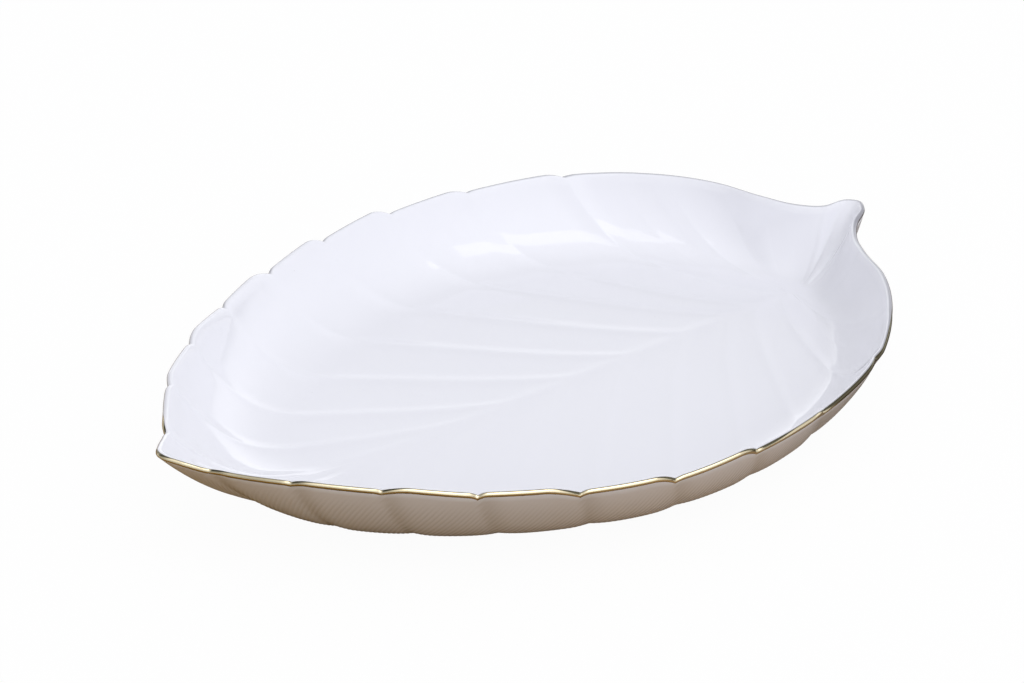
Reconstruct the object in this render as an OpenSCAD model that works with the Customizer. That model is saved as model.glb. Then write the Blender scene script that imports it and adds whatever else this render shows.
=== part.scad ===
// Leaf shaped plate: a moulded white dish with scalloped lobes, a short stem, a raised tip and a gilt lip.
// The leaf lies along X, with its stem at +X and its tip at -X, and its foot stands on Z = 0.

/* [Leaf] */
// Length from the end of the stem to the tip
leaf_length = 255; // [180:1:330]
// Width across the widest lobes
leaf_width = 175; // [130:1:230]
// Height that the lip gains from its lowest notch to the tip
tip_rise = 7; // [0:0.5:12]
// How far a lobe swells out past the notches beside it
lobe_swell = 0.9; // [0:0.1:2]
// How far the lip of the highest lobe rises above the notches beside it
lobe_rise = 2.4; // [0:0.1:4]

/* [Veins] */
// Height of the veins and the midrib above the hollows between them
vein_height = 0.2; // [0.05:0.05:0.6]
// Half width of a vein
vein_width = 2.4; // [1:0.1:5]
// Half width of the midrib
midrib_width = 2.4; // [1:0.1:5]
// How far a vein bends towards the stem at its root
vein_bend = 5; // [0:0.5:8]
// Depth of the creases between the lobes on the outer wall
crease_depth = 0.6; // [0.2:0.1:1.2]

/* [Bowl] */
// Depth of the well, from the lip of the highest middle lobe to the floor
well_depth = 22.9; // [15:0.1:32]
// Thickness of the floor
floor_thickness = 4.5; // [3:0.1:8]
// Run of the inner wall in plan, from the lip to the floor
inner_run = 32; // [24:0.5:40]
// Run of the outer wall in plan, from the lip to the foot
outer_run = 35; // [26:0.5:42]

/* [Lip] */
// Thickness of the rounded lip
lip_thickness = 1.8; // [1.4:0.1:3]
// Thickness of the gilt line
gilt_thickness = 0.25; // [0.15:0.05:0.4]
// How far the gilt line runs down the outer wall below the round of the lip
gilt_drop = 0.5; // [0.2:0.1:1.5]

/* [Foot] */
// Height of the foot ring under the floor
foot_height = 2.5; // [1:0.1:5]
// Width of the foot ring where it stands
foot_width = 4; // [2:0.5:8]
// Slope of each side of the foot ring, in plan
foot_draft = 1; // [0.5:0.1:2]
// Distance of the foot ring from the end of the stem
foot_stem_inset = 30; // [26:0.5:36]
// Distance of the foot ring from the tip
foot_tip_inset = 65; // [58:0.5:74]
// Distance of the foot ring from the widest lobes
foot_side_inset = 53; // [48:0.5:58]

/* [Hidden] */

// Stations along one side of the margin, from the end of the stem to the tip. Each row gives the place
// along the length, the half width, the place of the vein's outer root along the inside of the foot and of
// its inner root along the length, the rise of the lip towards the tip, and the run of the wall, as shares
// of the sizes that they follow.
margin_shares = [
    [0.000, 0.000, 0.030, 0.100, 0.36, 0.90],
    [0.008, 0.045, 0.032, 0.101, 0.32, 0.90],
    [0.032, 0.085, 0.034, 0.102, 0.09, 0.90],
    [0.057, 0.160, 0.037, 0.103, 0.06, 0.90],
    [0.080, 0.272, 0.040, 0.105, 0.17, 0.90],
    [0.104, 0.435, 0.043, 0.108, 0.29, 0.90],
    [0.165, 0.660, 0.050, 0.112, 0.36, 0.90],
    [0.248, 0.836, 0.064, 0.125, 0.20, 0.90],
    [0.367, 0.962, 0.088, 0.168, 0.09, 0.92],
    [0.475, 1.000, 0.138, 0.208, 0.02, 0.95],
    [0.579, 0.970, 0.239, 0.280, 0.00, 1.00],
    [0.677, 0.868, 0.377, 0.366, 0.13, 1.00],
    [0.771, 0.720, 0.515, 0.449, 0.42, 1.00],
    [0.850, 0.549, 0.670, 0.543, 0.69, 1.05],
    [0.916, 0.356, 0.807, 0.614, 0.78, 1.15],
    [0.966, 0.131, 0.905, 0.683, 0.62, 1.45],
    [1.000, 0.000, 0.970, 0.730, 1.00, 1.80],
];
// Row of the first notch: the margin before it is smooth
first_notch = 7;
// Lobes between the notches, starting with the swelling before the first notch. Each row gives the place of
// the lobe's highest point, its rise, and the part of the rise that is lost on the way to the far notch.
lobe_form_shares = [
    [0.85, 0.10, 1.00],
    [0.17, 0.40, 0.75],
    [0.21, 0.50, 0.80],
    [0.23, 0.95, 0.75],
    [0.24, 0.95, 0.55],
    [0.35, 1.00, 0.50],
    [0.70, 0.75, 0.50],
    [0.80, 0.50, 0.55],
    [0.80, 0.40, 0.60],
    [0.50, 0.15, 0.60],
];
// Parts of a lobe over which its swelling starts and ends
lobe_start_share = 0.25;
lobe_end_share = 0.1;
// Places of the sections between two stations, on the smooth margin and on a lobe
smooth_shares = [0, 0.33, 0.67];
lobe_shares = [0, 0.05, 0.1, 0.25, 0.5, 0.75, 0.9, 0.95];
// Places of the rings on the floor, up the inner wall, down the outer wall and under the floor
floor_shares = [0.06, 0.2, 0.5, 0.8];
inner_shares = [0, 0.18, 0.33, 0.47, 0.6, 0.72, 0.83, 0.92];
outer_shares = [0.94, 0.87, 0.79, 0.7, 0.6, 0.48, 0.3, 0];
under_share = 0.5;
// Angles round the lip from its crest: the inner side, and the gilt line on the outer side
inner_lip_angles = [-60, -25, 5];
gilt_start_angle = 30;
gilt_angles = [60, 90];
// Powers that curve the two faces of the wall, flatten the lobes and sharpen the creases
inner_curve = 2.8;
outer_curve = 2.6;
lobe_flatness = 3;
crease_curve = 3;
// Changes of the two walls' powers along the stem, which is a channel with a full underside, and the number of
// stations over which the inner one ends and the outer one starts to end
stem_inner_curve = -0.6;
stem_outer_curve = 0.9;
stem_stations = 3.5;
// Number of lobes before the tip over which the veins grow faint
faint_lobes = 3;
// Part of a vein that bends, largest part of a vein that the wall takes, least slant of a vein against the
// margin, and part of a vein over which the creases start at the foot
bend_share = 0.3;
wall_share = 0.88;
slant_share = 0.6;
sink_share = 0.2;

// Sizes that follow from those above
half_width = leaf_width / 2 - lobe_swell;
floor_z = foot_height + floor_thickness;
low_lip_z = floor_z + well_depth - lobe_rise;
lip_radius = lip_thickness / 2;
foot_length = leaf_length - foot_stem_inset - foot_tip_inset;
foot_x = (foot_tip_inset - foot_stem_inset) / 2;
foot_breadth = leaf_width - 2 * foot_side_inset;
foot_inside = foot_width + 2 * foot_draft;
midrib_length = foot_length - 2 * foot_inside;

// Smooth curve through the stations of one side of the margin
stations = [for (r = margin_shares) [
    leaf_length / 2 - leaf_length * r[0],
    half_width * r[1],
    foot_x + midrib_length / 2 - midrib_length * r[2],
    leaf_length / 2 - leaf_length * r[3],
    tip_rise * r[4],
    r[5],
]];
tip = len(stations) - 1;

function plan(p) = [p[0], p[1]];
function mirrored(p) = [p.x, -p.y];
function gap(a, b) = norm(plan(b) - plan(a));
function before(i) = i > 0 ? stations[i - 1] : concat(mirrored(stations[1]), [for (k = [2:5]) stations[1][k]]);
function turn(a, b, c) =
    let (ab = gap(a, b), bc = gap(b, c))
    ((b - a) * bc / ab + (c - b) * ab / bc) / (ab + bc);
function heading(i) =
    i < tip ? turn(before(i), stations[i], stations[i + 1])
            : (stations[i] - stations[i - 1]) / gap(stations[i - 1], stations[i]);

headings = [for (i = [0:tip]) heading(i)];

function margin(i, u) =
    let (span = gap(stations[i], stations[i + 1]))
    stations[i] * (2 * u^3 - 3 * u^2 + 1) + stations[i + 1] * (3 * u^2 - 2 * u^3)
    + headings[i] * span * (u^3 - 2 * u^2 + u) + headings[i + 1] * span * (u^3 - u^2);
function margin_heading(i, u) =
    let (span = gap(stations[i], stations[i + 1]))
    (stations[i + 1] - stations[i]) * (6 * u - 6 * u^2)
    + headings[i] * span * (3 * u^2 - 4 * u + 1) + headings[i + 1] * span * (3 * u^2 - 2 * u);
function outward(i, u) =
    let (ahead = plan(margin_heading(i, u)))
    [ahead.y, -ahead.x] / norm(ahead);
function ease(x) = let (t = min(max(x, 0), 1)) t * t * (3 - 2 * t);

// Form of a lobe: from the notch nearer to its highest point it climbs over a share of its length, and then
// it sinks slowly until it drops into the other notch
function lobe_form(i) = lobe_form_shares[max(0, i - first_notch + 1)];
function peak_share(i) = min(lobe_form(i)[0], 1 - lobe_form(i)[0]);
function lobe(i, u, climb_share) =
    i < first_notch - 1 ? 0 :
    let (
        along = lobe_form(i)[0] < 1 / 2 ? u : 1 - u,
        lost = lobe_form(i)[2] * max(0, along - peak_share(i)) / (1 - peak_share(i)),
        climb = 1 - max(0, 1 - along / climb_share)^2,
        drop = 1 - max(0, 1 - (1 - along) / lobe_end_share)^2
    )
    climb * (1 - lost) * drop;

// A section runs from the edge of the lip along a vein to its two roots, the outer one inside the foot and
// the inner one on the midrib. The functions after it name what it holds.
function section(i, u) =
    let (
        p = margin(i, u),
        place = i + u,
        out = outward(i, u),
        edge = plan(p) + out * lobe_swell * lobe(i, u, lobe_start_share),
        bend = vein_bend * ease(place - first_notch + 1),
        inner_root = [p[3] - bend, 0],
        faint = min(1, (tip - place) / faint_lobes),
        lobed = i >= first_notch,
        root_gap = (stations[i][3] - stations[i + 1][3]) * abs(edge.y) / norm(edge - inner_root)
    )
    [edge, out, [p[2], 0], inner_root,
     low_lip_z + p[4] + lobe_rise * lobe_form(i)[1] * lobe(i, u, peak_share(i)),
     p[5],
     inner_curve + stem_inner_curve * (1 - ease(place / stem_stations)),
     outer_curve + stem_outer_curve * (1 - ease(place / stem_stations - 1)),
     lobed ? crease_depth * (1 - abs(2 * u - 1)^lobe_flatness) * faint : 0,
     bend,
     vein_height * ease(place - first_notch + 2) * faint,
     lobed ? min(u, 1 - u) : i < first_notch - 1 ? 1 : 1 - u,
     [root_gap, gap(stations[i], stations[i + 1])]];
function edge(c) = c[0];
function out(c) = c[1];
function outer_root(c) = c[2];
function inner_root(c) = c[3];
function lip_z(c) = c[4];
function run_share(c) = c[5];
function inner_power(c) = c[6];
function outer_power(c) = c[7];
function crease(c) = c[8];
function bend(c) = c[9];
function hollow(c) = c[10];
function from_vein_share(c) = c[11];
function lobe_gaps(c) = c[12];
function flip(c) = concat([mirrored(edge(c)), mirrored(out(c))], [for (k = [2:len(c) - 1]) c[k]]);

far_side = [
    for (i = [0:tip - 1]) for (u = i < first_notch ? smooth_shares : lobe_shares) section(i, u),
    section(tip - 1, 1),
];
side_count = len(far_side);
sections = concat(far_side, [for (i = [side_count - 2:-1:1]) flip(far_side[i])]);
count = len(sections);

// Distance from a root to the edge, square to the margin, and the length that a wall is measured on
function square(c, root) = (edge(c) - root) * out(c);
function wall_length(c, root) = max(square(c, root), slant_share * norm(edge(c) - root));

// Points at a share of the way from a root to the edge
function on_outer_vein(c, share, z) =
    let (p = outer_root(c) + (edge(c) - outer_root(c)) * share)
    [p.x, p.y, z];
function on_inner_vein(c, share, z) =
    let (p = inner_root(c) + (edge(c) - inner_root(c)) * share)
    [p.x + bend(c) * max(0, 1 - share / bend_share)^2, p.y, z];
function outer_inset_share(c, inset) = 1 - inset / square(c, outer_root(c));
function inner_inset_share(c, inset) = 1 - inset / square(c, inner_root(c));

// Rounded lip: angle 0 is its crest and 90 its outer side, and sink goes below its surface
function on_lip(c, angle, sink = 0) =
    let (
        r = lip_radius - sink,
        inset = lip_radius - r * sin(angle),
        z = lip_z(c) - lip_radius + r * cos(angle)
    )
    angle < 0 ? on_inner_vein(c, inner_inset_share(c, inset), z)
              : on_outer_vein(c, outer_inset_share(c, inset), z);

// Inner face, from the midrib over the floor and up the wall
function inner_top_z(c) = lip_z(c) - lip_radius * (1 - cos(inner_lip_angles[0]));
function inner_top_share(c) = inner_inset_share(c, lip_radius * (1 - sin(inner_lip_angles[0])));
function inner_end_share(c) =
    let (length = wall_length(c, inner_root(c)))
    inner_top_share(c) * (1 - min(inner_run * run_share(c), wall_share * length) / length);
function inner_hollow(c, share) =
    let (lobe_width = lobe_gaps(c)[0] * (1 - share) + lobe_gaps(c)[1] * share)
    hollow(c) * (1 - exp(-(from_vein_share(c) * lobe_width / vein_width)^2))
    * (1 - exp(-(share * edge(c).y / midrib_width)^2));
function on_floor(c, part) =
    let (share = inner_end_share(c) * part)
    on_inner_vein(c, share, floor_z - inner_hollow(c, share));
function on_inner_wall(c, up) =
    let (
        start = inner_end_share(c),
        share = start + (inner_top_share(c) - start) * up,
        climb = (inner_top_z(c) - floor_z) * up^inner_power(c)
    )
    on_inner_vein(c, share, floor_z + climb - inner_hollow(c, share) * (1 - up^crease_curve));

// The foot ring is an oval. Its place on a vein is where the line from the root to the edge crosses the oval.
function oval_share(c, inset) =
    let (
        size = [foot_length / 2 - inset, foot_breadth / 2 - inset],
        from = [(outer_root(c).x - foot_x) / size.x, outer_root(c).y / size.y],
        step = [(edge(c).x - outer_root(c).x) / size.x, (edge(c).y - outer_root(c).y) / size.y],
        along = from * step
    )
    (sqrt(along^2 + (step * step) * (1 - from * from)) - along) / (step * step);

// Outer face, from the gilt line down the wall to the foot and under the floor
function outer_height(c) = lip_z(c) - lip_radius - foot_height;
function outer_wall_share(c) =
    let (length = wall_length(c, outer_root(c)))
    min(outer_run * run_share(c), (1 - oval_share(c, 0)) * length) / length;
function outer_z(c, share) =
    let (up = max(0, 1 - (1 - share) / outer_wall_share(c)))
    foot_height + outer_height(c) * up^outer_power(c)
    - crease(c) * (1 - up^crease_curve) * ease((share - oval_share(c, 0)) / sink_share);
function on_outer_wall(c, up) =
    let (foot = oval_share(c, 0), share = foot + (1 - foot) * up)
    on_outer_vein(c, share, outer_z(c, share));
function on_gilt_end(c) =
    let (
        up = (1 - gilt_drop / outer_height(c))^(1 / outer_power(c)),
        share = 1 - (1 - up) * outer_wall_share(c)
    )
    on_outer_vein(c, share, outer_z(c, share));
function on_foot(c, inset, z) = on_outer_vein(c, oval_share(c, inset), z);
function on_underside(c, part) = on_outer_vein(c, oval_share(c, foot_inside) * part, foot_height);

inner_rings = concat(
    [for (part = floor_shares) [for (c = sections) on_floor(c, part)]],
    [for (up = inner_shares) [for (c = sections) on_inner_wall(c, up)]],
    [for (angle = inner_lip_angles) [for (c = sections) on_lip(c, angle)]]
);
gilt_start = [for (c = sections) on_lip(c, gilt_start_angle)];
gilt_seat = [for (angle = gilt_angles) [for (c = sections) on_lip(c, angle, gilt_thickness)]];
gilt_face = [for (angle = gilt_angles) [for (c = sections) on_lip(c, angle)]];
gilt_end = [for (c = sections) on_gilt_end(c)];
outer_rings = concat(
    [for (up = outer_shares) [for (c = sections) on_outer_wall(c, up)]],
    [[for (c = sections) on_foot(c, foot_draft, 0)]],
    [[for (c = sections) on_foot(c, foot_draft + foot_width, 0)]],
    [[for (c = sections) on_underside(c, 1)]],
    [[for (c = sections) on_underside(c, under_share)]]
);
body_rings = concat(inner_rings, [gilt_start], gilt_seat, [gilt_end], outer_rings);

// The two faces close on the midrib, where both sides of the leaf share their points
midrib_top = [for (c = far_side) on_inner_vein(c, 0, floor_z)];
midrib_under = [for (c = far_side) on_outer_vein(c, 0, foot_height)];
body_points = concat(midrib_top, [for (ring = body_rings) each ring], midrib_under);
body_ring_count = len(body_rings);

function side_index(i) = i % count < side_count ? i % count : count - i % count;
function body_index(ring, i) =
    ring == 0 ? side_index(i)
    : ring <= body_ring_count ? side_count + (ring - 1) * count + i % count
    : side_count + body_ring_count * count + side_index(i);
function gilt_index(ring, i) = ring * count + i % count;

// Two triangles between four corners, split along either diagonal
function patch(a, b, c, d, turned) = turned ? [[a, b, d], [b, c, d]] : [[a, b, c], [a, c, d]];
// The split changes at mid length and at the lip, so that no triangle at the ends of the midrib is flat
function turned(ring, i) = (i % (count / 2) >= count / 4) != (ring > body_ring_count / 2);

module leaf_body() {
    color("ghostwhite")
    polyhedron(body_points, [for (ring = [0:body_ring_count]) for (i = [0:count - 1]) each patch(
        body_index(ring, i), body_index(ring, i + 1), body_index(ring + 1, i + 1), body_index(ring + 1, i),
        turned(ring, i)
    )]);
}

module gilt_rim() {
    rings = concat([gilt_start], gilt_face, [gilt_end], [gilt_seat[1]], [gilt_seat[0]]);
    ring_count = len(rings);
    color("goldenrod")
    polyhedron([for (ring = rings) each ring], [for (ring = [0:ring_count - 1]) for (i = [0:count - 1])
        let (next = (ring + 1) % ring_count) each patch(
        gilt_index(ring, i), gilt_index(ring, i + 1), gilt_index(next, i + 1), gilt_index(next, i), false
    )]);
}

leaf_body();
gilt_rim();
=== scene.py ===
import math

import bpy
import numpy as np
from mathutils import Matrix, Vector


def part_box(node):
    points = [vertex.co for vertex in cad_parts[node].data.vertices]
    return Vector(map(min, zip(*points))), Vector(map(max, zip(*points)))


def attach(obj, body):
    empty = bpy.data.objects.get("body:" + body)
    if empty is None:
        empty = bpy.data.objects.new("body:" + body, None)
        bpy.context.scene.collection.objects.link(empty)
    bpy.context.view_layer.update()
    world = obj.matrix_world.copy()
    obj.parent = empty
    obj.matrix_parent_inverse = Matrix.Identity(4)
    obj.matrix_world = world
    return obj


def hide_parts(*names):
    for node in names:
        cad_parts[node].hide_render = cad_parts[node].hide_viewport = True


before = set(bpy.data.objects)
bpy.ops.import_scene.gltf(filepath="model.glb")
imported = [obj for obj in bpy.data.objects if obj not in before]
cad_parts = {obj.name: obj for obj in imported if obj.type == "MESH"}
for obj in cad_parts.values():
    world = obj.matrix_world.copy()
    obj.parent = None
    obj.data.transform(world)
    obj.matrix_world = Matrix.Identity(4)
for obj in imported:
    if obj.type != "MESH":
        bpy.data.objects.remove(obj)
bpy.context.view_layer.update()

# Sizes of the dish in metres. The overall sizes come from the frame, the rest are the dish's own.
gilt_low, gilt_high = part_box("gilt_rim")
leaf_length = gilt_high.x - gilt_low.x
leaf_width = gilt_high.y - gilt_low.y
tip_rise = 0.007
lobe_swell = 0.0009
lobe_rise = 0.0024
vein_height = 0.0002
vein_width = 0.0024
vein_bend = 0.005
midrib_width = 0.0024
groove_depth = 0.0006
well_depth = 0.0229
floor_thickness = 0.0045
inner_run = 0.032
outer_run = 0.035
lip_thickness = 0.0018
lip_radius = lip_thickness / 2
gilt_thickness = 0.00025
gilt_drop = 0.0005
foot_height = 0.0025
foot_width = 0.004
foot_draft = 0.001
foot_stem_inset = 0.030
foot_tip_inset = 0.065
foot_side_inset = 0.053
foot_seam = 0.0001

# Angles round the lip in degrees, 0 at its crest and 90 at its outer side: where the inner face meets it
# and where the gold line starts, on the near side and on the far one, with its share of the drop there
lip_inner_angle = -60
gilt_near_start = 14
gilt_far_start = 75
gilt_far_share = 0.2

# Stations along one side of the margin, from the end of the stem to the tip: the place along the length,
# the half width, the places of the vein's roots inside the foot and on the midrib, the rise of the lip and
# the wall's run.
margin_shares = np.array([
    [0.000, 0.000, 0.030, 0.100, 0.36, 0.90],
    [0.008, 0.045, 0.032, 0.101, 0.32, 0.90],
    [0.032, 0.085, 0.034, 0.102, 0.09, 0.90],
    [0.057, 0.160, 0.037, 0.103, 0.06, 0.90],
    [0.080, 0.272, 0.040, 0.105, 0.17, 0.90],
    [0.104, 0.435, 0.043, 0.108, 0.29, 0.90],
    [0.165, 0.660, 0.050, 0.112, 0.36, 0.90],
    [0.248, 0.836, 0.064, 0.125, 0.20, 0.90],
    [0.367, 0.962, 0.088, 0.168, 0.09, 0.92],
    [0.475, 1.000, 0.138, 0.208, 0.02, 0.95],
    [0.579, 0.970, 0.239, 0.280, 0.00, 1.00],
    [0.677, 0.868, 0.377, 0.366, 0.13, 1.00],
    [0.771, 0.720, 0.515, 0.449, 0.42, 1.00],
    [0.850, 0.549, 0.670, 0.543, 0.69, 1.05],
    [0.916, 0.356, 0.807, 0.614, 0.78, 1.15],
    [0.966, 0.131, 0.905, 0.683, 0.62, 1.45],
    [1.000, 0.000, 0.970, 0.730, 1.00, 1.80],
])
# The lobes between the notches, from the one before the first notch: the place of the highest point along
# each lobe, its rise, and the part of the rise that is lost before the far end
lobe_shares = np.array([
    [0.85, 0.10, 1.00],
    [0.17, 0.40, 0.75],
    [0.21, 0.50, 0.80],
    [0.23, 0.95, 0.75],
    [0.24, 0.95, 0.55],
    [0.35, 1.00, 0.50],
    [0.70, 0.75, 0.50],
    [0.80, 0.50, 0.55],
    [0.80, 0.40, 0.60],
    [0.50, 0.15, 0.60],
])
tip = len(margin_shares) - 1
first_notch = 7

# Powers that curve the two faces of the wall, with their changes by the stem, and those of the creases
inner_curve = 2.8
outer_curve = 2.6
stem_inner_curve = -1.6
stem_outer_curve = 0.9
groove_flatness = 3
crease_curve = 3
outer_crease_curve = 12

# Shares of a lobe that its ends take, of a vein that its bend takes, of a section that its wall may take,
# of a slanting vein that counts as its least length, and of the outer wall over which the grooves sink in
lobe_end_share = 0.10
lobe_start_share = 0.25
bend_share = 0.3
wall_share = 0.88
slant_share = 0.6
sink_share = 0.2

# Counts of the stations that the stem's changes take and of the lobes that grow faint towards the tip
stem_stations = 3.5
faint_lobes = 3

# The fine ribs of the outer wall: how far they lean along the margin for their depth down the wall, the
# share of the room before the tip that they may lean over, and the length by the stem where they start to
rib_pitch = 0.00145
rib_depth = 0.00004
rib_lean = 0.9
rib_tip_lean = 3.0
rib_crowd_share = 0.85
rib_stem_run = 0.06
rib_least_shift = 1e-9
outer_wall_depth = 0.045

# Columns of the mesh to a rib, on the ribbed outer wall and on the rest, and steps of the margin's table
rib_columns = 6
inner_columns = 2
table_steps = 400

# Rings of the mesh, as shares of the way over the floor, up the inner wall, down the outer wall and over
# the underside, then round the lip and under the gold line
floor_shares = np.concatenate([[0.012, 0.025, 0.04, 0.06, 0.085, 0.12], np.linspace(0.18, 0.94, 9)])
wall_shares = np.linspace(0, 1, 23)[:-1]
outer_shares = np.concatenate([np.linspace(0.975, 0.55, 16), [0.47, 0.39, 0.3, 0.2, 0.1, 0]])
under_shares = (1, 0.75, 0.5, 0.25)
foot_flank_share = 0.4
lip_angles = (lip_inner_angle, -40, -20, 0)
lip_shares = (0.25, 0.5, 0.75, 1)
under_gilt_shares = (0.08, 0.5)
gilt_rings = 13

# Stretches of the margin over which a feature comes in, as places from 0 at the stem's end to the tip
near_gold_stretch = (first_notch - 1.5, first_notch - 0.5)
tip_gold_stretch = (tip - 0.5, tip)
notch_gold_stretch = (tip - 1.5, tip - 1.2)
notch_bare_stretch = (tip - 1.05, tip - 0.95)
tip_darkening_stretch = (11.5, 13.5)
rib_start_stretch = (first_notch - 0.5, first_notch + 1)
rib_finish_stretch = (tip - 1.2, tip)
lip_shade_stem_stretch = (first_notch - 1, first_notch + 3)
lip_shade_tip_stretch = (first_notch + 3, tip - 2)

# Ribs fade out at the top and at the foot of the outer wall. Painted shade darkens a stretch of each lobe
# and of the wall beside the notches, and there it weighs more than the painted shade between the ribs.
rib_top_stretch = (0.89, 0.98)
rib_foot_stretch = (0.02, 0.27)
crease_shade_lobe_stretch = (0.72, 0.98)
crease_shade_wall_stretch = (0.72, 0.92)
crease_shade_weight = 1.5

# Painted shade darkens the lip over these angles, sooner by the stem, and less by a share at the tip
lip_shade_angle_stretch = (-15, 35)
lip_shade_stem_angle = 25
lip_shade_tip_share = 0.65

# Painted dark reflection on the gold line: how far down its width the dark upper edge reaches, all along,
# beside the notches, by the stem and before the third notch, and where along the margin it does so
dark_reflection_base_share = 0.12
dark_reflection_notch_share = 0.45
dark_reflection_stem_share = 0.9
dark_reflection_third_share = 0.5
dark_reflection_lobe_share = 0.35
dark_reflection_soft_share = 0.1
dark_reflection_after_stretch = (9, 12)
dark_reflection_before_place = 12.5
dark_reflection_stem_stretch = (7.7, 8.2)
dark_reflection_third_stretch = (8.4, 8.8)
dark_reflection_third_end_stretch = (8.9, 9)
# Share by which the gold is darker towards the tip
tip_darkening_share = 0.25

# Heights and the foot's oval, which follow from the sizes
half_width = leaf_width / 2 - lobe_swell
floor_z = foot_height + floor_thickness
low_lip_z = floor_z + well_depth - lobe_rise
foot_length = leaf_length - foot_stem_inset - foot_tip_inset
foot_x = (foot_tip_inset - foot_stem_inset) / 2
foot_breadth = leaf_width - 2 * foot_side_inset
foot_inside = foot_width + 2 * foot_draft
midrib_length = foot_length - 2 * foot_inside


def margin_stations():
    """Places of the stations: x, y, the x of both roots, the rise and the run."""
    share = margin_shares.T
    return np.stack([
        leaf_length / 2 - leaf_length * share[0],
        half_width * share[1],
        foot_x + midrib_length / 2 - midrib_length * share[2],
        leaf_length / 2 - leaf_length * share[3],
        tip_rise * share[4],
        share[5],
    ], axis=1)


def margin_headings(stations):
    """Slope of the margin at each station, weighted by the distance to its neighbours."""
    mirrored = stations[1] * [1, -1, 1, 1, 1, 1]
    run = np.vstack([mirrored, stations])
    step = np.diff(run, axis=0)
    gap = np.hypot(step[:, 0], step[:, 1])[:, None]
    slope = step / gap
    inside = (slope[:-1] * gap[1:] + slope[1:] * gap[:-1]) / (gap[:-1] + gap[1:])
    return np.vstack([inside, slope[-1]])


stations = margin_stations()
headings = margin_headings(stations)
spans = np.hypot(*np.diff(stations[:, :2], axis=0).T)


def margin(place):
    """Points and slopes of the margin. A place is a station's number plus a share of the way onwards."""
    i = np.minimum(place.astype(int), tip - 1)
    u = (place - i)[:, None]
    span = spans[i][:, None]
    point = (
        stations[i] * (2 * u**3 - 3 * u**2 + 1) + stations[i + 1] * (3 * u**2 - 2 * u**3)
        + headings[i] * span * (u**3 - 2 * u**2 + u) + headings[i + 1] * span * (u**3 - u**2)
    )
    slope = (
        (stations[i + 1] - stations[i]) * (6 * u - 6 * u**2)
        + headings[i] * span * (3 * u**2 - 4 * u + 1) + headings[i + 1] * span * (3 * u**2 - 2 * u)
    )
    return point, slope


def ease(x):
    """Smooth step from 0 to 1."""
    t = np.clip(x, 0, 1)
    return t * t * (3 - 2 * t)


def rising(x, stretch):
    """Smooth step from 0 to 1 while x goes over a stretch."""
    start, end = stretch
    return ease((x - start) / (end - start))


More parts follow.
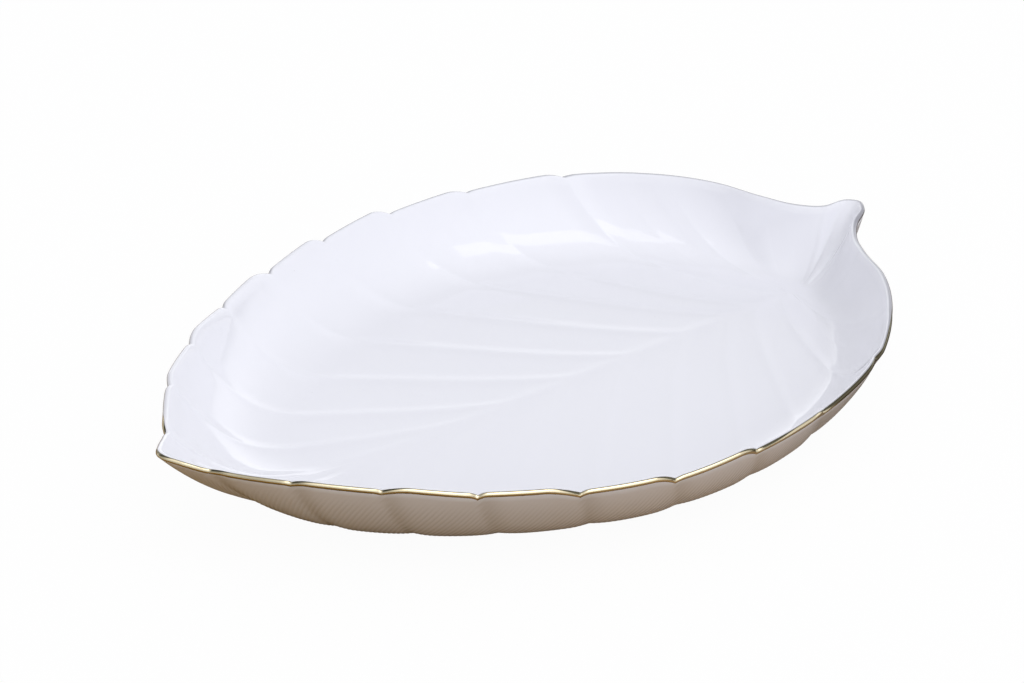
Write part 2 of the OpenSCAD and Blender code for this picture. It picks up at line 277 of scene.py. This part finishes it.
class Sections:
    """Sections of the dish, each from the edge of the lip along a vein to its root on the midrib."""

    def __init__(self, place, side):
        """Works out the sections at these places along the margin."""
        self.place = place
        self.side = side
        point, slope = margin(place)
        ahead = slope[:, :2] / np.hypot(slope[:, 0], slope[:, 1])[:, None]
        out = np.stack([ahead[:, 1], -ahead[:, 0]], axis=1)
        i = np.minimum(place.astype(int), tip - 1)
        u = place - i
        lobed = i >= first_notch
        humped = i >= first_notch - 1
        peak, rise, lost = lobe_shares[np.maximum(i - first_notch + 1, 0)].T
        nearer = np.minimum(peak, 1 - peak)
        along = np.where(peak < 0.5, u, 1 - u)
        end = 1 - np.maximum(0, 1 - (1 - along) / lobe_end_share) ** 2
        fall = 1 - lost * np.maximum(0, along - nearer) / (1 - nearer)
        swell = np.where(humped, end * fall * (1 - np.maximum(0, 1 - along / lobe_start_share) ** 2), 0)
        hump = np.where(humped, end * fall * (1 - np.maximum(0, 1 - along / nearer) ** 2), 0)
        self.edge = point[:, :2] + out * (lobe_swell * swell)[:, None]
        zero = np.zeros(len(place))
        self.root = np.stack([point[:, 2], zero], axis=1)
        self.bend = vein_bend * ease(place - first_notch + 1)
        self.inner_root = np.stack([point[:, 3] - self.bend, zero], axis=1)
        vein = self.edge - self.root
        self.square = (vein * out).sum(1)
        self.length = np.maximum(self.square, slant_share * np.hypot(vein[:, 0], vein[:, 1]))
        inner_vein = self.edge - self.inner_root
        self.inner_square = (inner_vein * out).sum(1)
        self.inner_slant = np.hypot(inner_vein[:, 0], inner_vein[:, 1])
        self.inner_length = np.maximum(self.inner_square, slant_share * self.inner_slant)
        self.lip = low_lip_z + point[:, 4] + lobe_rise * rise * hump
        self.inner_top = self.lip - lip_radius * (1 - math.cos(math.radians(lip_inner_angle)))
        self.inner_edge = 1 - lip_radius * (1 - math.sin(math.radians(lip_inner_angle))) / self.inner_square
        self.run = point[:, 5]
        faint = np.minimum(1, (tip - place) / faint_lobes)
        self.groove = groove_depth * np.where(lobed, 1 - np.abs(2 * u - 1) ** groove_flatness, 0) * faint
        self.hollow = vein_height * ease(place - first_notch + 2) * faint
        self.from_vein = np.where(lobed, np.minimum(u, 1 - u), 1 - u)
        self.from_vein = np.where(i < first_notch - 1, 1, self.from_vein)
        gap = stations[i, 3] - stations[i + 1, 3]
        self.root_gap = gap * np.abs(self.edge[:, 1]) / self.inner_slant
        self.edge_gap = spans[i]
        self.inner_power = inner_curve + stem_inner_curve * (1 - ease(place / stem_stations))
        self.outer_power = outer_curve + stem_outer_curve * (1 - ease(place / stem_stations - 1))
        by_last_notch = rising(place, notch_gold_stretch) * (1 - rising(place, notch_bare_stretch))
        far_gilded = np.maximum(by_last_notch, rising(place, tip_gold_stretch))
        gilded = np.where(side < 0, rising(place, near_gold_stretch), far_gilded)
        self.gilt_start = gilt_far_start + (gilt_near_start - gilt_far_start) * gilded
        self.gilt_drop = gilt_drop * (gilt_far_share + (1 - gilt_far_share) * gilded)

    def on_vein(self, share, z):
        """Points at a share of the way from the root inside the foot to the edge."""
        plan = self.root + (self.edge - self.root) * np.broadcast_to(share, self.lip.shape)[:, None]
        return np.stack([plan[:, 0], plan[:, 1] * self.side, np.broadcast_to(z, self.lip.shape)], axis=1)

    def on_inner_vein(self, share, z):
        """Points at a share of the way from the root on the midrib, where the vein bends to the stem."""
        share = np.broadcast_to(share, self.lip.shape)
        plan = self.inner_root + (self.edge - self.inner_root) * share[:, None]
        x = plan[:, 0] + self.bend * np.clip(1 - share / bend_share, 0, 1) ** 2
        return np.stack([x, plan[:, 1] * self.side, np.broadcast_to(z, self.lip.shape)], axis=1)

    def inset_share(self, inset):
        return 1 - inset / self.square

    def inner_inset_share(self, inset):
        return 1 - inset / self.inner_square

    def wall_run(self, run, room):
        return np.minimum(run * self.run, room * self.length)

    def on_lip(self, angle, sink=0):
        """Rounded lip: angle 0 is its crest and 90 its outer side, and sink goes below its surface."""
        r = lip_radius - sink
        turn = np.radians(angle)
        inset = lip_radius - r * np.sin(turn)
        z = self.lip - lip_radius + r * np.cos(turn)
        if np.max(angle) < 0:
            return self.on_inner_vein(self.inner_inset_share(inset), z)
        return self.on_vein(self.inset_share(inset), z)

    def gilt_angle(self, part):
        """Angle on the lip at a part of the way from the start of the gold line to the outer side."""
        return self.gilt_start + (90 - self.gilt_start) * part

    def inner_end(self):
        """Where the inner wall ends and the floor begins, as a share of the vein."""
        run = np.minimum(inner_run * self.run, wall_share * self.inner_length)
        return self.inner_edge * (1 - run / self.inner_length)

    def inner_hollow(self, share):
        """Depth of the hollows between the veins and beside the midrib."""
        lobe_width = self.root_gap * (1 - share) + self.edge_gap * share
        vein = np.exp(-(self.from_vein * lobe_width / vein_width) ** 2)
        midrib = np.exp(-(share * self.edge[:, 1] / midrib_width) ** 2)
        return self.hollow * (1 - vein) * (1 - midrib)

    def on_floor(self, part):
        share = self.inner_end() * part
        return self.on_inner_vein(share, floor_z - self.inner_hollow(share))

    def on_inner_wall(self, up):
        end = self.inner_end()
        share = end + (self.inner_edge - end) * up
        height = self.inner_top - floor_z
        hollow = self.inner_hollow(share) * (1 - up**crease_curve)
        return self.on_inner_vein(share, floor_z + height * up**self.inner_power - hollow)

    def oval_share(self, inset):
        """Place of the foot's oval on the vein."""
        size = np.array([foot_length / 2 - inset, foot_breadth / 2 - inset])
        start = (self.root - [foot_x, 0]) / size
        step = (self.edge - self.root) / size
        along = (start * step).sum(1)
        step_square = (step * step).sum(1)
        room = 1 - (start * start).sum(1)
        return (np.sqrt(along**2 + step_square * room) - along) / step_square

    def outer_z(self, share):
        """Height of the outer wall with its grooves."""
        foot = self.oval_share(0)
        up = np.maximum(0, 1 - (1 - share) * self.length / self.wall_run(outer_run, 1 - foot))
        height = self.lip - lip_radius - foot_height
        groove = self.groove * (1 - up**outer_crease_curve) * ease((share - foot) / sink_share)
        return foot_height + height * up**self.outer_power - groove

    def on_outer_wall(self, up):
        foot = self.oval_share(0)
        share = foot + (1 - foot) * up
        return self.on_vein(share, self.outer_z(share))

    def gilt_end_share(self):
        """Place of the gold line's lower edge on the vein."""
        height = self.lip - lip_radius - foot_height
        up = (1 - self.gilt_drop / height) ** (1 / self.outer_power)
        return 1 - (1 - up) * self.wall_run(outer_run, 1 - self.oval_share(0)) / self.length

    def on_gilt_end(self):
        share = self.gilt_end_share()
        return self.on_vein(share, self.outer_z(share))

    def on_foot(self, inset, z):
        return self.on_vein(self.oval_share(inset), z)

    def on_underside(self, part):
        return self.on_vein(self.oval_share(foot_inside) * part, foot_height)


# Lengths along the margin at its places, and the ribs between one station and the next
table_places = np.linspace(0, tip, tip * table_steps + 1)
table_points = margin(table_places)[0][:, :2]
table_arcs = np.concatenate([[0], np.cumsum(np.hypot(*np.diff(table_points, axis=0).T))])
margin_length = table_arcs[-1]
segment_ribs = np.maximum(2, np.round(spans / rib_pitch)).astype(int)


def loop_places(per_rib):
    """Places and sides of a closed loop's columns, up the far side to the tip and down the near side."""
    far = np.concatenate([i + np.arange(n * per_rib) / (n * per_rib) for i, n in enumerate(segment_ribs)])
    place = np.concatenate([far, [tip], far[:0:-1]])
    side = np.where(np.arange(len(place)) <= len(far), 1, -1)
    return place, side


def leaned(place, depth):
    """The places where the ribs from these places at the lip have come to at this depth down the wall."""
    arc = np.interp(place, table_places, table_arcs)
    towards_tip = np.clip((place - first_notch) / (tip - first_notch), 0, 1)
    lean = rib_lean + (rib_tip_lean - rib_lean) * towards_tip
    shift = lean * depth * ease(arc / rib_stem_run) + rib_least_shift
    room = margin_length - arc
    return np.interp(arc + rib_crowd_share * shift * room / (room + shift), table_arcs, table_places)


def rib_strength(place):
    """Ribs fade out on the smooth margin by the stem and at the tip."""
    return rising(place, rib_start_stretch) * (1 - rising(place, rib_finish_stretch))


def lip_shade(angle, sections):
    """How much painted shade darkens the lip: most on its outer side and by the stem."""
    by_stem = 1 - rising(sections.place, lip_shade_stem_stretch)
    by_tip = rising(sections.place, lip_shade_tip_stretch)
    return rising(angle + lip_shade_stem_angle * by_stem, lip_shade_angle_stretch) * (1 - lip_shade_tip_share * by_tip)


def notch_crease_shade(place, part):
    """Painted shade beside the notches, on the side of the stem, that fades out down the wall."""
    notched = (place > first_notch - 1) * (place < tip - 1)
    beside = rising(place - np.floor(place), crease_shade_lobe_stretch) * notched
    return beside * rising(part, crease_shade_wall_stretch)


def quad_strip(low, high):
    """Faces between two closed rings with the same number of points."""
    return np.stack([low, np.roll(low, -1), np.roll(high, -1), high], axis=1).tolist()


def fan_strip(coarse, fine):
    """Faces between a ring and a finer ring, with a whole number of fine points to each coarse one."""
    ratio = len(fine) // len(coarse)
    faces = []
    for i, start in enumerate(coarse):
        ring = [fine[(i * ratio + k) % len(fine)] for k in range(ratio + 1)]
        end = coarse[(i + 1) % len(coarse)]
        half = ratio // 2
        faces += [[start, ring[k + 1], ring[k]] for k in range(half)]
        faces.append([start, end, ring[half]])
        faces += [[end, ring[k + 1], ring[k]] for k in range(half, ratio)]
    return faces


def grid_normals(rings):
    """Normals of a grid of closed rings."""
    along = np.roll(rings, -1, axis=1) - np.roll(rings, 1, axis=1)
    down = np.gradient(rings, axis=0)
    normal = np.cross(along, down)
    return normal / np.linalg.norm(normal, axis=2, keepdims=True)


def new_mesh(name, points, faces, material, shades=None):
    """A smooth object from points and faces, with named values on its points for its material."""
    mesh = bpy.data.meshes.new(name)
    mesh.from_pydata(points.tolist(), [], faces)
    for shade, values in (shades or {}).items():
        layer = mesh.attributes.new(shade, "FLOAT", "POINT")
        layer.data.foreach_set("value", np.asarray(values, np.float32))
    mesh.update()
    mesh.shade_smooth()
    mesh.materials.append(material)
    made = bpy.data.objects.new(name, mesh)
    bpy.context.scene.collection.objects.link(made)
    return made


class Skin:
    """A closed skin that is built up ring by ring, with two values of painted shade on each point for the
    glaze.
    """

    def __init__(self):
        """Starts with no points."""
        self.points = []
        self.faces = []
        self.valley_shade = []
        self.painted_darkening = []
        self.count = 0

    def add(self, ring, valley_shade=0, painted_darkening=0):
        """Adds a ring of points and gives their numbers."""
        numbers = self.count + np.arange(len(ring))
        self.points.append(ring)
        self.valley_shade.append(np.broadcast_to(valley_shade, len(ring)))
        self.painted_darkening.append(np.broadcast_to(painted_darkening, len(ring)))
        self.count += len(ring)
        return numbers

    def whole_faces(self):
        """The faces without repeated corners, less those that have shrunk to a line."""
        faces = [list(dict.fromkeys(face)) for face in self.faces]
        return [face for face in faces if len(face) > 2]


def inner_face(sections):
    """Rings of the inner face and of the lip to under the gold line, each with how much painted shade
    darkens it.
    """
    rings = [(sections.on_floor(part), 0) for part in floor_shares]
    rings += [(sections.on_inner_wall(up), 0) for up in wall_shares]
    angles = [np.full(len(sections.place), angle) for angle in lip_angles]
    angles += [sections.gilt_start * part for part in lip_shares]
    # Painted shade on the lip, darker towards its outer side, and full under the gold line
    rings += [(sections.on_lip(angle), lip_shade(angle, sections)) for angle in angles]
    rings += [(sections.on_lip(sections.gilt_angle(part), gilt_thickness), 1) for part in under_gilt_shares]
    return rings


def outer_wall():
    """Rings of the ribbed outer wall from under the gold line to the foot, and the painted shade on each.
    """
    place, side = loop_places(rib_columns)
    lip = Sections(place, side)
    rings = [lip.on_lip(90, gilt_thickness), lip.on_gilt_end()]
    ribbed = [np.zeros(len(place)), np.zeros(len(place))]
    # Painted shade beside the notches, on the side of the stem
    crease_shade = [notch_crease_shade(place, 1), notch_crease_shade(place, 1)]
    for part in outer_shares:
        moved = Sections(leaned(place, (1 - part) * outer_wall_depth), side)
        rings.append(moved.on_outer_wall(part))
        fade = (1 - rising(part, rib_top_stretch)) * rising(part, rib_foot_stretch)
        ribbed.append(rib_strength(place) * fade)
        crease_shade.append(notch_crease_shade(moved.place, part))
    rings = np.array(rings)
    ribbed = np.array(ribbed)
    wave = np.cos(2 * math.pi * np.arange(len(place)) / rib_columns)
    rings = rings + grid_normals(rings) * (rib_depth * ribbed * wave)[:, :, None]
    # Painted shade: grey in the valleys between the ribs, and more beside the notches
    return rings, ribbed * (1 - wave) / 2 + crease_shade_weight * np.array(crease_shade)


def foot_and_underside(sections):
    """Rings of the foot, down its outer flank and up its inner one, and of the flat underside inside it."""
    flank_z = foot_height * foot_flank_share
    rings = [
        sections.on_foot(foot_seam, foot_height),
        sections.on_foot(foot_draft / 2, flank_z),
        sections.on_foot(foot_draft, 0),
        sections.on_foot(foot_draft + foot_width, 0),
        sections.on_foot(foot_draft * 3 / 2 + foot_width, flank_z),
    ]
    return rings + [sections.on_underside(part) for part in under_shares]


def make_dish(material):
    """The glazed body: inner face, lip, ribbed outer wall, foot and underside, closed along the midrib."""
    place, side = loop_places(inner_columns)
    sections = Sections(place, side)
    columns = np.arange(len(place))
    folded = np.minimum(columns, len(place) - columns)
    one_side = len(place) // 2 + 1
    skin = Skin()
    last = skin.add(sections.on_inner_vein(0, floor_z)[:one_side])[folded]
    for ring, painted_darkening in inner_face(sections):
        numbers = skin.add(ring, painted_darkening=painted_darkening)
        skin.faces += quad_strip(numbers, last)
        last = numbers
    for k, (ring, valley_shade) in enumerate(zip(*outer_wall())):
        numbers = skin.add(ring, valley_shade, painted_darkening=0 if k else 1)
        if k:
            skin.faces += quad_strip(numbers, last)
        else:
            skin.faces += [face[::-1] for face in fan_strip(last, numbers)]
        last = numbers
    for k, ring in enumerate(foot_and_underside(sections)):
        numbers = skin.add(ring)
        skin.faces += quad_strip(numbers, last) if k else fan_strip(numbers, last)
        last = numbers
    roots = skin.add(sections.on_vein(0, foot_height)[:one_side])[folded]
    skin.faces += quad_strip(roots, last)
    shades = {"painted_valley_shade": np.concatenate(skin.valley_shade), "painted_lip_shade": np.concatenate(skin.painted_darkening)}
    return new_mesh("leaf_dish", np.concatenate(skin.points), skin.whole_faces(), material, shades)


def dark_reflection_reach(place):
    """How far down the gold line its painted dark reflection reaches from the upper edge, as a share of its
    width.
    """
    past = place - np.floor(place)
    start, end = dark_reflection_after_stretch
    after = np.where((place > start) & (place < end), 1 - rising(past, (0, dark_reflection_lobe_share)), 0)
    before = np.where(place > dark_reflection_before_place, rising(past, (1 - dark_reflection_lobe_share, 1)), 0)
    by_stem = 1 - rising(place, dark_reflection_stem_stretch)
    to_third = rising(place, dark_reflection_third_stretch) * (1 - rising(place, dark_reflection_third_end_stretch))
    by_notches = dark_reflection_notch_share * np.maximum(after, before)
    return dark_reflection_base_share + by_notches + dark_reflection_stem_share * by_stem + dark_reflection_third_share * to_third


def make_gilt(material):
    """The gold line: a thin closed band on the outer side of the lip."""
    place, side = loop_places(inner_columns)
    lip = Sections(place, side)
    parts = np.linspace(0, 1, gilt_rings)
    soft_edge = (-dark_reflection_soft_share, dark_reflection_soft_share)
    # Painted dark reflection along the gold line's upper edge, and darker towards the tip
    deeper = tip_darkening_share * rising(place, tip_darkening_stretch)
    painted_darkening = [np.maximum(rising(dark_reflection_reach(place) - part, soft_edge), deeper) for part in parts]
    painted_darkening += [painted_darkening[-1], painted_darkening[-1], painted_darkening[len(parts) // 2], painted_darkening[0]]
    rings = [lip.on_lip(lip.gilt_angle(part)) for part in parts]
    rings.append(lip.on_gilt_end())
    rings += [lip.on_lip(lip.gilt_angle(part), gilt_thickness) for part in (1, *under_gilt_shares[::-1])]
    count = len(place)
    indices = np.arange(count * len(rings)).reshape(len(rings), count)
    faces = []
    for k in range(len(rings)):
        faces += quad_strip(indices[(k + 1) % len(rings)], indices[k])
    shades = {"painted_gold_darkening": np.concatenate(painted_darkening)}
    return new_mesh("gilt_line", np.concatenate(rings), faces, material, shades)


class Wire:
    """One output of a node tree. Sums and products of wires add the Math nodes that work them out."""

    def __init__(self, tree, socket=None):
        """Keeps the tree and the output. A wire without an output only adds nodes."""
        self.tree = tree
        self.socket = socket

    def node(self, kind, settings=None, inputs=None, output=0):
        """Adds a node, with its settings first and then the values or wires of its inputs."""
        made = self.tree.nodes.new(kind)
        for name, value in (settings or {}).items():
            setattr(made, name, value)
        for name, value in (inputs or {}).items():
            if isinstance(value, Wire):
                self.tree.links.new(value.socket, made.inputs[name])
            else:
                made.inputs[name].default_value = value
        return Wire(self.tree, made.outputs[output] if made.outputs else None)

    def maths(self, operation, first, second=0.0):
        return self.node("ShaderNodeMath", {"operation": operation}, {0: first, 1: second})

    def __add__(self, other):
        return self.maths("ADD", self, other)

    def __radd__(self, other):
        return self.maths("ADD", other, self)

    def __sub__(self, other):
        return self.maths("SUBTRACT", self, other)

    def __rsub__(self, other):
        return self.maths("SUBTRACT", other, self)

    def __mul__(self, other):
        return self.maths("MULTIPLY", self, other)

    def __rmul__(self, other):
        return self.maths("MULTIPLY", other, self)

    def __gt__(self, other):
        return self.maths("GREATER_THAN", self, other)

    def __lt__(self, other):
        return self.maths("LESS_THAN", self, other)

    def smooth_step(self, stretch):
        """Rises smoothly from 0 to 1 while this wire goes over a stretch."""
        start, end = stretch
        settings = {"interpolation_type": "SMOOTHSTEP"}
        return self.node("ShaderNodeMapRange", settings, {0: self, 1: start, 2: end, 3: 0.0, 4: 1.0})

    def straight_step(self, stretch):
        """Rises evenly from 0 to 1 while this wire goes over a stretch."""
        start, end = stretch
        return self.node("ShaderNodeMapRange", inputs={0: self, 1: start, 2: end, 3: 0.0, 4: 1.0})

    def mix(self, low, high):
        """Colour between two others, by this wire."""
        settings = {"data_type": "RGBA", "clamp_factor": True}
        return self.node("ShaderNodeMix", settings, {0: self, 6: low, 7: high}, 2)

    def shade(self, name):
        """A named value on the points of the mesh."""
        return self.node("ShaderNodeAttribute", {"attribute_name": name}, output="Fac")


def new_material(name):
    """An empty material and a wire that adds nodes to it."""
    material = bpy.data.materials.new(name)
    material.use_nodes = True
    material.node_tree.nodes.clear()
    return material, Wire(material.node_tree)


def white_glaze():
    """Clear glaze over a cool white body, with faint clouding, pinholes, a rippled surface and painted
    shade.
    """
    body_white = (0.89, 0.89, 0.94, 1)
    cloud_white = (0.905, 0.905, 0.955, 1)
    valley_shade_grey = (0.70, 0.68, 0.68, 1)
    lip_shade_grey = (0.38, 0.38, 0.42, 1)
    pinhole_brown = (0.35, 0.30, 0.26, 1)
    valley_shade_share = 0.35
    pinhole_share = 0.5
    pinhole_reach = 0.012
    least_roughness = 0.02
    cloud_roughness = 0.03
    material, wire = new_material("white_glaze")
    place = wire.node("ShaderNodeTexCoord", output="Object")
    cloud = wire.node("ShaderNodeTexNoise", inputs={"Vector": place, "Scale": 35.0, "Detail": 3.0})
    ripple = wire.node("ShaderNodeTexNoise", inputs={"Vector": place, "Scale": 260.0, "Detail": 1.0})
    cells = wire.node("ShaderNodeTexVoronoi", inputs={"Vector": place, "Scale": 130.0}, output="Distance")
    body = cloud.mix(body_white, cloud_white)
    # Painted shade in the valleys between the ribs and beside the notches
    crease_shade = (wire.shade("painted_valley_shade") * valley_shade_share).mix(body, valley_shade_grey)
    # Painted shade: the lip turns grey towards its outer side
    lip_shaded = wire.shade("painted_lip_shade").mix(crease_shade, lip_shade_grey)
    colour = ((cells < pinhole_reach) * pinhole_share).mix(lip_shaded, pinhole_brown)
    roughness = least_roughness + cloud * cloud_roughness
    bump = wire.node("ShaderNodeBump", inputs={"Strength": 0.06, "Distance": 0.0002, "Height": ripple})
    shader = wire.node("ShaderNodeBsdfPrincipled", inputs={
        "Base Color": colour, "Roughness": roughness, "IOR": 1.5, "Normal": bump,
    })
    wire.node("ShaderNodeOutputMaterial", inputs={"Surface": shader})
    return material


def fired_gold():
    """Bright gold, with painted dark reflection in places, and finely brushed along the lip."""
    deep_gold = (0.84, 0.71, 0.46, 1)
    pale_gold = (0.95, 0.86, 0.62, 1)
    dark_reflection_olive = (0.13, 0.115, 0.07, 1)
    least_roughness = 0.08
    patch_roughness = 0.10
    material, wire = new_material("fired_gold")
    place = wire.node("ShaderNodeTexCoord", output="Object")
    patches = wire.node("ShaderNodeTexNoise", inputs={"Vector": place, "Scale": 120.0, "Detail": 4.0})
    brush = wire.node("ShaderNodeTexNoise", inputs={"Vector": place, "Scale": 900.0, "Detail": 2.0})
    # Painted dark reflection: olive on the gold's upper edge, and darker towards the tip
    colour = wire.shade("painted_gold_darkening").mix(patches.mix(deep_gold, pale_gold), dark_reflection_olive)
    roughness = least_roughness + patches * patch_roughness
    bump = wire.node("ShaderNodeBump", inputs={"Strength": 0.15, "Distance": 0.0001, "Height": brush})
    shader = wire.node("ShaderNodeBsdfPrincipled", inputs={
        "Base Color": colour, "Metallic": 1.0, "Roughness": roughness, "Normal": bump,
    })
    wire.node("ShaderNodeOutputMaterial", inputs={"Surface": shader})
    return material


def pale_floor():
    """Floor that shows white, straight or mirrored from afar, and is warm and shaded close to the dish."""
    far_white = (0.95, 0.95, 0.95, 1)
    tip_warm = (0.42, 0.25, 0.07, 1)
    stem_warm = (0.36, 0.29, 0.23, 1)
    tip_dim = (0.30, 0.17, 0.03, 1)
    stem_dim = (0.22, 0.18, 0.145, 1)
    white_share = 0.96
    away_stretch = (0.3, 0.9)
    stem_stretch = (-0.2, 0.15)
    middle_start_stretch = (-0.10, 0.0)
    middle_end_stretch = (0.01, 0.09)
    material, wire = new_material("pale_floor")
    place = wire.node("ShaderNodeTexCoord", output="Object")
    distance = wire.node("ShaderNodeVectorMath", {"operation": "LENGTH"}, {0: place}, "Value")
    away = distance.smooth_step(away_stretch)
    straight = wire.node("ShaderNodeLightPath", output="Is Camera Ray")
    mirrored = wire.node("ShaderNodeLightPath", output="Is Glossy Ray")
    through = wire.node("ShaderNodeLightPath", output="Is Transmission Ray")
    shown = straight + (mirrored + through) * away
    along = wire.node("ShaderNodeSeparateXYZ", inputs={0: place}, output=0)
    to_stem = along.straight_step(stem_stretch)
    middle = along.smooth_step(middle_start_stretch) * (1 - along.smooth_step(middle_end_stretch))
    near = middle.mix(to_stem.mix(tip_dim, stem_dim), to_stem.mix(tip_warm, stem_warm))
    lit = wire.node("ShaderNodeBsdfDiffuse", inputs={"Color": shown.mix(near, far_white)})
    white = wire.node("ShaderNodeEmission", inputs={"Color": (1, 1, 1, 1), "Strength": 1.0})
    both = wire.node("ShaderNodeMixShader", inputs={0: shown * white_share, 1: lit, 2: white})
    wire.node("ShaderNodeOutputMaterial", inputs={"Surface": both})
    return material


def make_floor():
    """A wide floor just under the foot."""
    size = 3.0
    gap = 0.0002
    corners = np.array([[-size, -size, -gap], [size, -size, -gap], [size, size, -gap], [-size, size, -gap]])
    floor = new_mesh("floor", corners, [[0, 1, 2, 3]], pale_floor())


def broad_lobe(axes, direction):
    """A wire that is 1 towards a direction and falls evenly to 0 away from it."""
    across, along, height = axes
    x, y, z = direction
    return 0.5 + across * (x / 2) + along * (y / 2) + height * (z / 2)


def make_world():
    """Dim studio, lit by a broad soft light high in front and by softer ones low beyond the dish."""
    # Stretches of height are sines of the angle above the horizon
    above_stretch = (0.02, 0.2)
    wall_start_stretch = (0.04, 0.26)
    wall_end_stretch = (0.45, 1.0)
    skirting_start_stretch = (0.02, 0.10)
    skirting_end_stretch = (0.12, 0.65)
    front_direction = (-0.228, -0.628, 0.744)
    beyond_direction = (0.606, 0.795, 0)
    front_strength = 1.5
    wall_strength = 0.53
    skirting_strength = 1.66
    fill_strength = 0.02
    horizon_height = 0.03
    world = bpy.data.worlds.new("studio")
    world.use_nodes = True
    world.node_tree.nodes.clear()
    bpy.context.scene.world = world
    wire = Wire(world.node_tree)
    direction = wire.node("ShaderNodeTexCoord", output="Generated")
    axes = [wire.node("ShaderNodeSeparateXYZ", inputs={0: direction}, output=axis) for axis in range(3)]
    height = axes[2]
    above = height.smooth_step(above_stretch)
    wall = height.smooth_step(wall_start_stretch) * (1 - height.smooth_step(wall_end_stretch))
    skirting = height.smooth_step(skirting_start_stretch) * (1 - height.smooth_step(skirting_end_stretch))
    front = broad_lobe(axes, front_direction)
    beyond = broad_lobe(axes, beyond_direction)
    high = above * front * front * front * front * front_strength
    low = (wall * wall_strength + skirting * skirting_strength) * beyond * beyond
    light = high + low + fill_strength
    studio = wire.node("ShaderNodeBackground", inputs={"Color": (0.99, 1, 1.03, 1), "Strength": light})
    white = wire.node("ShaderNodeBackground", inputs={"Color": (1, 1, 1, 1), "Strength": 1.0})
    horizon = (height < horizon_height) * (height > -horizon_height)
    straight = wire.node("ShaderNodeLightPath", output="Is Camera Ray")
    mirrored = wire.node("ShaderNodeLightPath", output="Is Glossy Ray")
    through = wire.node("ShaderNodeLightPath", output="Is Transmission Ray")
    shown = straight + (mirrored + through) * horizon
    sky = wire.node("ShaderNodeMixShader", inputs={0: shown, 1: studio, 2: white})
    wire.node("ShaderNodeOutputWorld", inputs={"Surface": sky})


def soft_box(name, place, target, width, height, power):
    """An area lamp that faces a point."""
    lamp = bpy.data.lights.new(name, "AREA")
    lamp.shape = "RECTANGLE"
    lamp.size = width
    lamp.size_y = height
    lamp.energy = power
    made = bpy.data.objects.new(name, lamp)
    made.location = place
    made.rotation_euler = (Vector(target) - Vector(place)).to_track_quat("-Z", "Y").to_euler()
    bpy.context.scene.collection.objects.link(made)


def make_camera():
    """Camera at the photograph's angle, distance and focal length."""
    azimuth = math.radians(-37.3)
    elevation = math.radians(30.1)
    distance = 0.762
    target = Vector((-0.0107, 0, 0.029))
    back = Vector((
        math.sin(azimuth) * math.cos(elevation),
        -math.cos(azimuth) * math.cos(elevation),
        math.sin(elevation),
    ))
    lens = bpy.data.cameras.new("camera")
    lens.sensor_width = 36.0
    lens.lens = 93.375
    lens.shift_x = 0.0011
    lens.shift_y = -0.0044
    lens.clip_start = 0.01
    camera = bpy.data.objects.new("camera", lens)
    camera.location = target + back * distance
    camera.rotation_euler = (-back).to_track_quat("-Z", "Y").to_euler()
    bpy.context.scene.collection.objects.link(camera)
    bpy.context.scene.camera = camera


bpy.context.scene.view_settings.view_transform = "Standard"
make_camera()
make_world()
make_floor()
soft_box(
    "front_box", place=(-0.055, -0.497, 0.98), target=(0, 0, 0.02), width=1.03, height=0.33, power=1.5,
)

dish = make_dish(white_glaze())
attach(dish, "root")
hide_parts("leaf_body")
gilt = make_gilt(fired_gold())
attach(gilt, "root")
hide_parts("gilt_rim")
